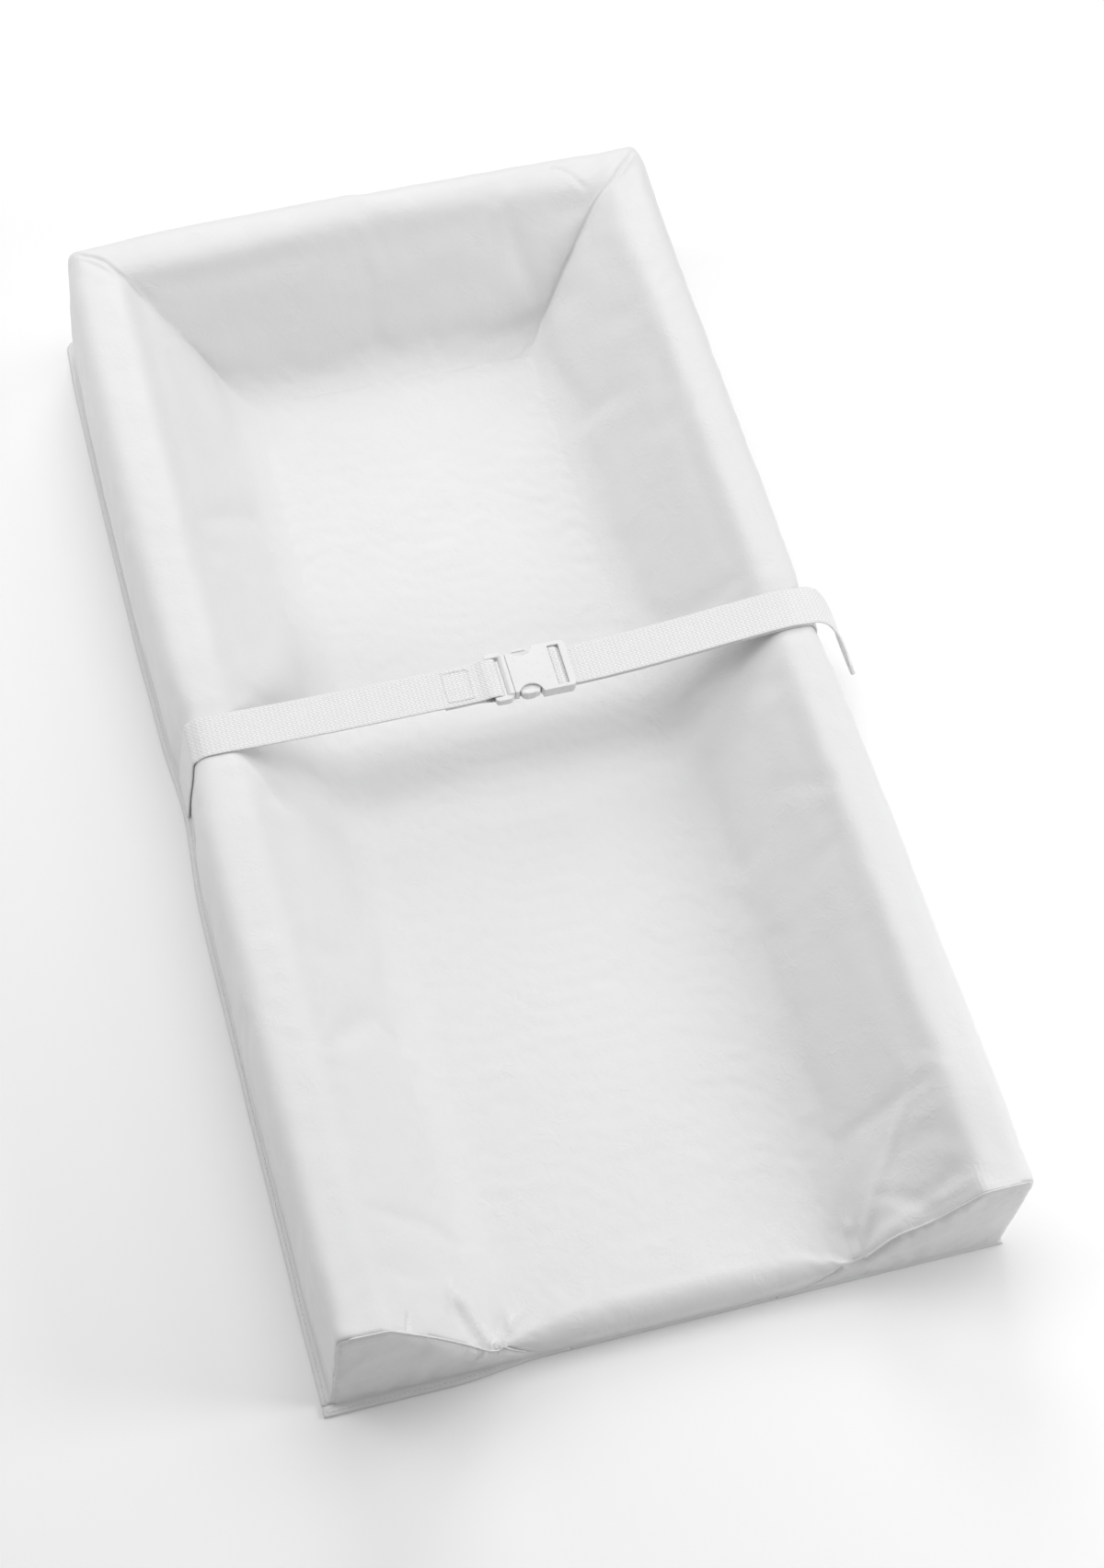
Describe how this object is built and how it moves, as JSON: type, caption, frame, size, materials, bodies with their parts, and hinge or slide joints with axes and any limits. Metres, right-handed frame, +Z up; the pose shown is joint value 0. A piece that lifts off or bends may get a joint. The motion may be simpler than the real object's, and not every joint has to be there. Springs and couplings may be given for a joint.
{
  "type": "changing pad",
  "caption": "Contoured foam changing pad with raised sides and head end, a wipe-clean vinyl cover, a webbing safety belt with a side-release buckle, and press-stud anchor straps underneath.",
  "frame": {"origin": "on the flat underside of the cover, under the middle of the pad's width, 0.4075 m from the head wall's foot", "axes": "+Y towards the baby's head, along the pad's length; +X to the right seen from the foot; +Z up, through the pad's height"},
  "size_m": [0.4504, 0.821, 0.1023],
  "materials": {
    "foam": "open-cell polyurethane foam, cream, matt",
    "cover_vinyl": "white soft vinyl sheet, semi-matt, faintly wrinkled",
    "nonskid_base": "white vinyl with small raised non-skid dots, matt",
    "webbing": "white polypropylene webbing, twill weave, matt with a slight sheen",
    "buckle_plastic": "white moulded acetal, satin gloss",
    "press_stud": "nickel-plated press stud, smooth",
    "label_satin": "white woven satin label, blank"
  },
  "bodies": {
    "pad": {"foam_base_slab": "foam", "foam_left_bolster": "foam", "foam_right_bolster": "foam", "foam_head_bolster": "foam", "cover_top_panel": "cover_vinyl", "cover_foot_gusset_left": "cover_vinyl", "cover_foot_gusset_right": "cover_vinyl", "cover_bottom_panel": "nonskid_base", "belt_left_strap": "webbing", "belt_right_strap": "webbing", "buckle_socket": "buckle_plastic", "care_label": "label_satin"},
    "buckle_plug": {"buckle_plug": "buckle_plastic"},
    "latch_arm_head": {"latch_arm_head_side": "buckle_plastic"},
    "latch_arm_foot": {"latch_arm_foot_side": "buckle_plastic"},
    "belt_tail": {"belt_tail": "webbing"},
    "anchor_head": {"anchor_strap_head": "webbing", "anchor_head_stud_cap": "press_stud", "anchor_head_stud_socket": "press_stud"},
    "anchor_foot": {"anchor_strap_foot": "webbing", "anchor_foot_stud_cap": "press_stud", "anchor_foot_stud_socket": "press_stud"}
  },
  "joints": [
    {"name": "buckle_release", "type": "slide", "parent": "pad", "child": "buckle_plug", "axis": [-1, 0, 0], "range_m": [0, 0.03], "deforming": ["belt_left_strap", "latch_arm_head_side", "latch_arm_foot_side"]},
    {"name": "latch_squeeze_head", "type": "hinge", "parent": "buckle_plug", "child": "latch_arm_head", "pos_m": [0.0055, 0.012, 0.09168], "axis": [0, 0, -1], "range_deg": [0, 12], "stiffness_Nm_per_rad": 0.3},
    {"name": "latch_squeeze_foot", "type": "hinge", "parent": "buckle_plug", "child": "latch_arm_foot", "pos_m": [0.0055, -0.007, 0.09168], "axis": [0, 0, 1], "range_deg": [0, 12], "stiffness_Nm_per_rad": 0.3},
    {"name": "belt_tail_swing", "type": "hinge", "parent": "pad", "child": "belt_tail", "pos_m": [0.1955, 0.0055, 0.10215], "axis": [0, -1, 0], "range_deg": [0, 170]},
    {"name": "anchor_head_fold", "type": "hinge", "parent": "pad", "child": "anchor_head", "pos_m": [0, 0.3875, 0], "axis": [1, 0, 0], "range_deg": [0, 180]},
    {"name": "anchor_foot_fold", "type": "hinge", "parent": "pad", "child": "anchor_foot", "pos_m": [0, -0.3815, 0], "axis": [-1, 0, 0], "range_deg": [0, 180]}
  ],
  "couplings": [
    {"joint": "latch_squeeze_foot", "follows": "latch_squeeze_head", "ratio": 1}
  ]
}
